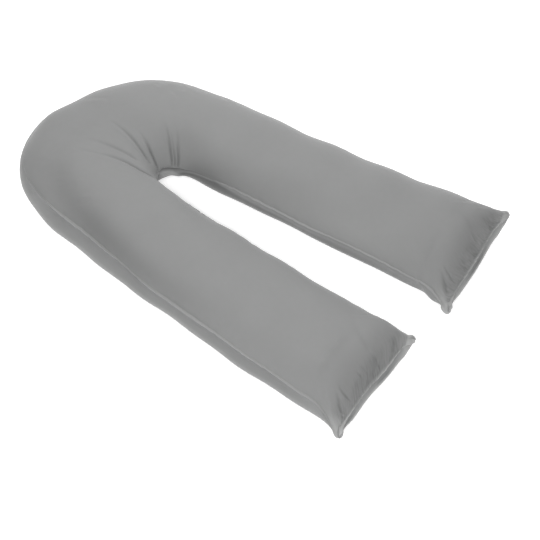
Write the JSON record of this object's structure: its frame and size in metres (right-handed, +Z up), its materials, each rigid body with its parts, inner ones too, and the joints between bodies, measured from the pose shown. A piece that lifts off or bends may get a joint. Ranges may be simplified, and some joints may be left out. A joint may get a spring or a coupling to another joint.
{
  "type": "u-shaped body pillow",
  "caption": "U-shaped full-body pillow: one long soft filled cushion that bends round a narrow slot, with two near-parallel arms that end in flat seams.",
  "frame": {"origin": "under the middle of the pillow's box, on the surface that it rests on", "axes": "+Y towards the round head of the U, -Y towards the ends of the two arms, +Z up"},
  "size_m": [0.879, 1.3742, 0.1736],
  "materials": {
    "cover": "matt mid-grey brushed cotton weave"
  },
  "bodies": {
    "root": {"filled_u_pillow": "cover"}
  },
  "joints": []
}
